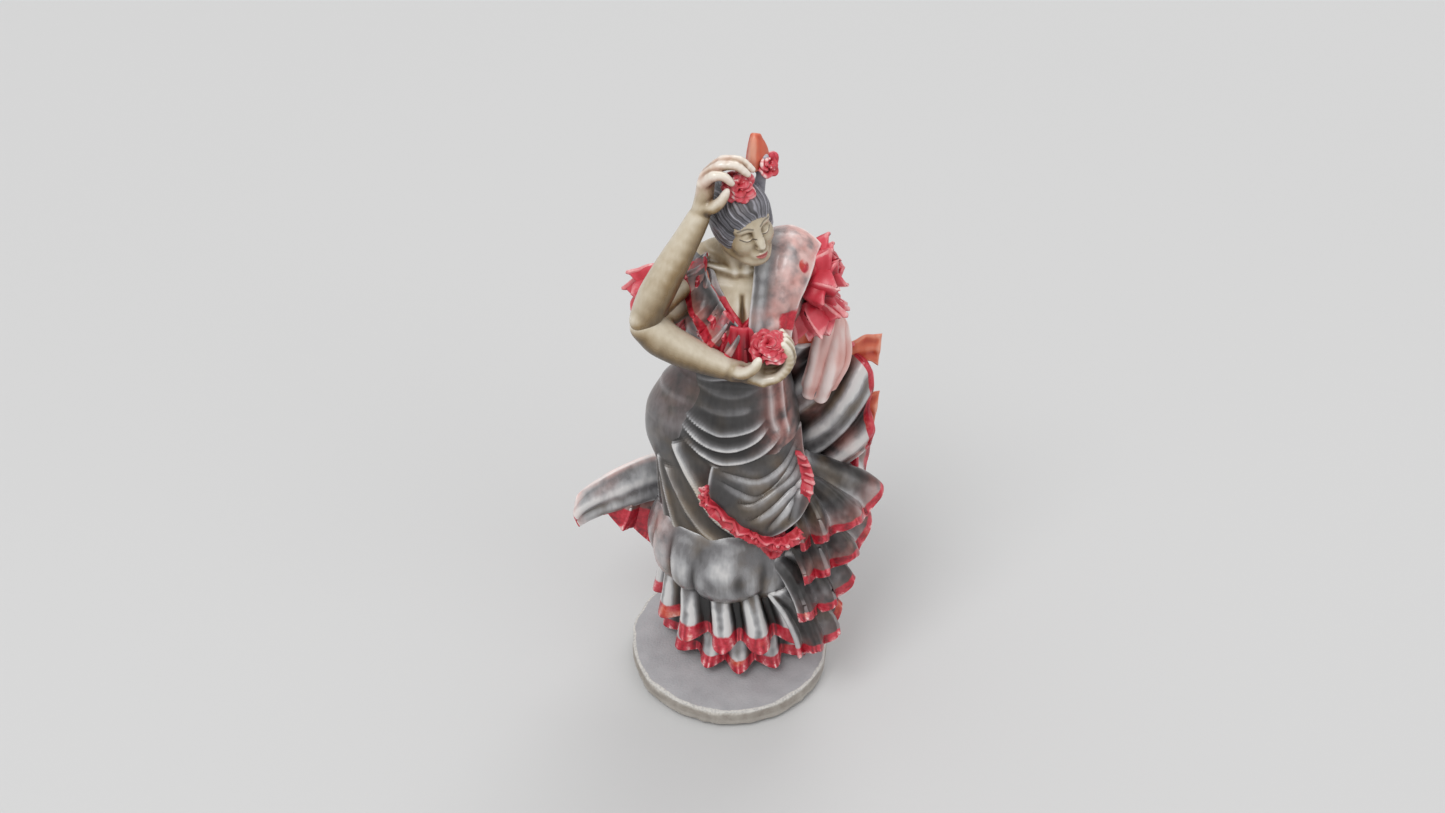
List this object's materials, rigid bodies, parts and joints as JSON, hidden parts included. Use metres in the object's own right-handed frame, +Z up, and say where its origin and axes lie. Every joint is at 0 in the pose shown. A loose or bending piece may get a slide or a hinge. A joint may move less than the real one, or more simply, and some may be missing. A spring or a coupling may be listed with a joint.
{
  "type": "figurine",
  "caption": "Standing flamenco dancer figurine in a ruffled gown, one arm raised to the head and one across the waist holding a rose, on a round stone-effect plinth.",
  "frame": {"origin": "middle of the felt pad's underside, on the round plinth's vertical axis, where the figurine stands on a shelf", "axes": "+Z up; the dancer faces -Y; +X is to the viewer's right when looking at the dancer's front, the side of the lifted skirt"},
  "size_m": [0.1216, 0.0855, 0.2608],
  "materials": {
    "stone": "matt mottled grey cast stone with a chipped, hewn rim",
    "felt": "matt felt",
    "steel": "plain zinc-plated steel",
    "brass": "plain turned brass",
    "gown": "painted cast resin: charcoal with pale dry-brushed folds and brown shading, satin",
    "trim": "painted cast resin: crimson frills with white and pink brushing, satin",
    "blush": "painted cast resin: grey washed with pink and orange, satin",
    "skin": "painted cast resin: ivory with ochre and brown antiquing, satin",
    "hair": "painted cast resin: grey-black with brushed pale strands, satin"
  },
  "bodies": {
    "root": {"felt_pad": "felt", "plinth": "stone", "washer": "steel", "fixing_screw": "steel", "thread_insert": "brass", "gown_body": "gown", "hip_drape": "gown", "knee_yoke": "gown", "hem_flounce_upper": "gown", "hem_flounce_lower": "gown", "apron_swag": "gown", "apron_frill": "trim", "side_jabot": "trim", "swag_tassel": "trim", "lifted_fan": "gown", "fan_frill": "trim", "fan_crest": "blush", "waist_petal": "trim", "train_wing": "gown", "train_underfold": "trim", "bust": "skin", "bodice": "gown", "raised_arm": "skin", "rose_arm": "skin", "held_rose": "trim", "sleeve_cap_left": "gown", "sleeve_cap_right": "gown", "sleeve_frill_left_upper": "trim", "sleeve_frill_left_lower": "trim", "sleeve_frill_right": "trim", "neck_frill": "trim", "centre_frill": "trim", "shoulder_shawl": "gown", "head": "skin", "hair_cap": "hair", "hair_bun": "hair", "hair_rose": "trim", "comb": "hair", "comb_flower_tall": "trim", "comb_flower_low": "trim", "side_tier_1": "gown", "side_tier_2": "gown", "side_tier_3": "gown", "side_tier_4": "gown", "back_tier_1": "gown", "back_tier_2": "gown", "neck_dowel": "steel", "waist_dowel": "steel", "raised_arm_dowel": "steel", "rose_arm_dowel": "steel"}
  },
  "joints": []
}
